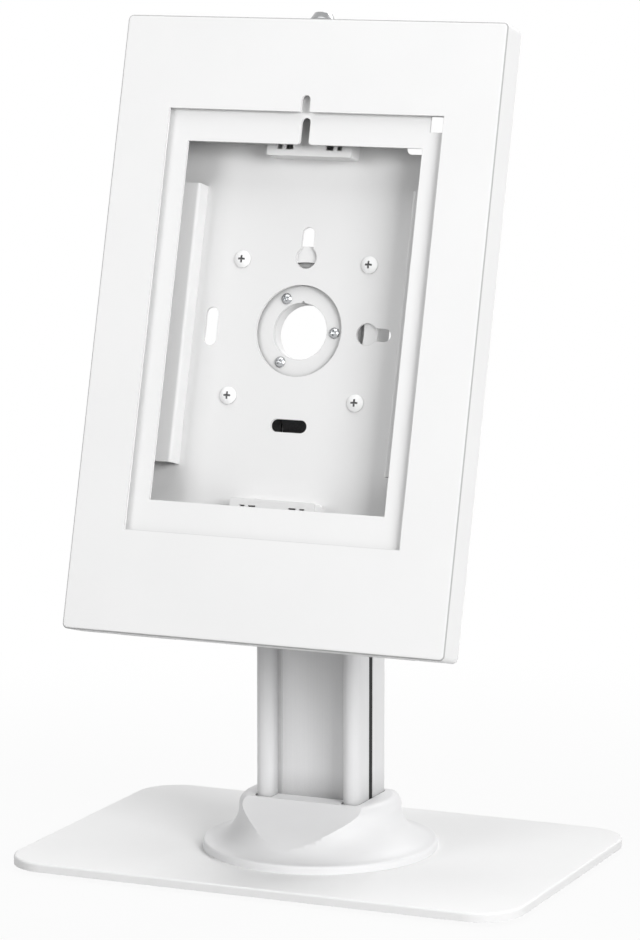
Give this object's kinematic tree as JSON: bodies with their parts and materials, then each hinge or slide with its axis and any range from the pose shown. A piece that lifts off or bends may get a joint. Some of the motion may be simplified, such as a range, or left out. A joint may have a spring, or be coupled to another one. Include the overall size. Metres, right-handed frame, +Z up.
{
  "type": "tablet kiosk stand",
  "caption": "Free-standing tablet kiosk: a lockable sheet metal case on a tilting, turning head, carried by a channelled post with a moulded foot cover on a flat base plate.",
  "frame": {"origin": "middle of the base plate's footprint, on the surface that the feet stand on", "axes": "+Z up, +X to the right of someone facing the screen, +Y to the back; the screen faces -Y"},
  "size_m": [0.3, 0.2, 0.4699],
  "materials": {
    "white_coat": "satin white powder coat on steel sheet",
    "white_moulding": "fine matt moulded plastic",
    "post_coat": "satin light grey coat on extruded aluminium",
    "hinge_coat": "dark grey coat on cast metal",
    "black_rubber": "matt black rubber",
    "zinc_steel": "bright zinc plate",
    "chrome": "polished chrome plate"
  },
  "bodies": {
    "base": {"base_plate": "white_coat", "rubber_feet": "black_rubber", "post_bolts": "zinc_steel", "base_cover": "white_moulding", "post_profile": "post_coat", "cable_cover": "post_coat", "slot_strips": "black_rubber", "post_head": "hinge_coat", "head_screws": "zinc_steel", "tilt_bolt": "zinc_steel", "tilt_nut": "zinc_steel", "tilt_washers": "white_moulding"},
    "tilt_head": {"tilt_yoke": "hinge_coat", "hub_body": "white_coat", "hub_screws": "zinc_steel", "swivel_washers": "white_moulding", "retainer_ring": "white_coat", "ring_screws": "chrome"},
    "case": {"vesa_plate": "white_coat", "tray": "white_coat", "vesa_screws": "white_coat", "left_rail": "white_coat", "right_rail": "white_coat", "top_bracket": "white_coat", "bottom_bracket": "white_coat", "lock_keeper": "white_coat", "hinge_pins": "zinc_steel"},
    "cover": {"front_cover": "white_coat", "mask": "white_coat", "mask_spacers": "zinc_steel", "mask_nuts": "zinc_steel", "lock_body": "chrome", "lock_nut": "zinc_steel"},
    "plug": {"lock_plug": "chrome", "lock_cam": "zinc_steel", "cam_screw": "zinc_steel"}
  },
  "joints": [
    {"name": "head_tilt", "type": "hinge", "parent": "base", "child": "tilt_head", "pos_m": [0, -0.007, 0.242], "axis": [-1, 0, 0], "range_deg": [-15, 45]},
    {"name": "case_turn", "type": "hinge", "parent": "tilt_head", "child": "case", "pos_m": [0, -0.02787, 0.29935], "axis": [0, -0.9659, 0.2588], "range_deg": [-90, 90]},
    {"name": "cover_swing", "type": "hinge", "parent": "case", "child": "cover", "pos_m": [0, -0.07241, 0.13581], "axis": [1, 0, 0], "range_deg": [0, 90]},
    {"name": "lock_turn", "type": "hinge", "parent": "cover", "child": "plug", "pos_m": [0, 0.00328, 0.4639], "axis": [0, -0.2588, -0.9659], "range_deg": [0, 90]}
  ]
}
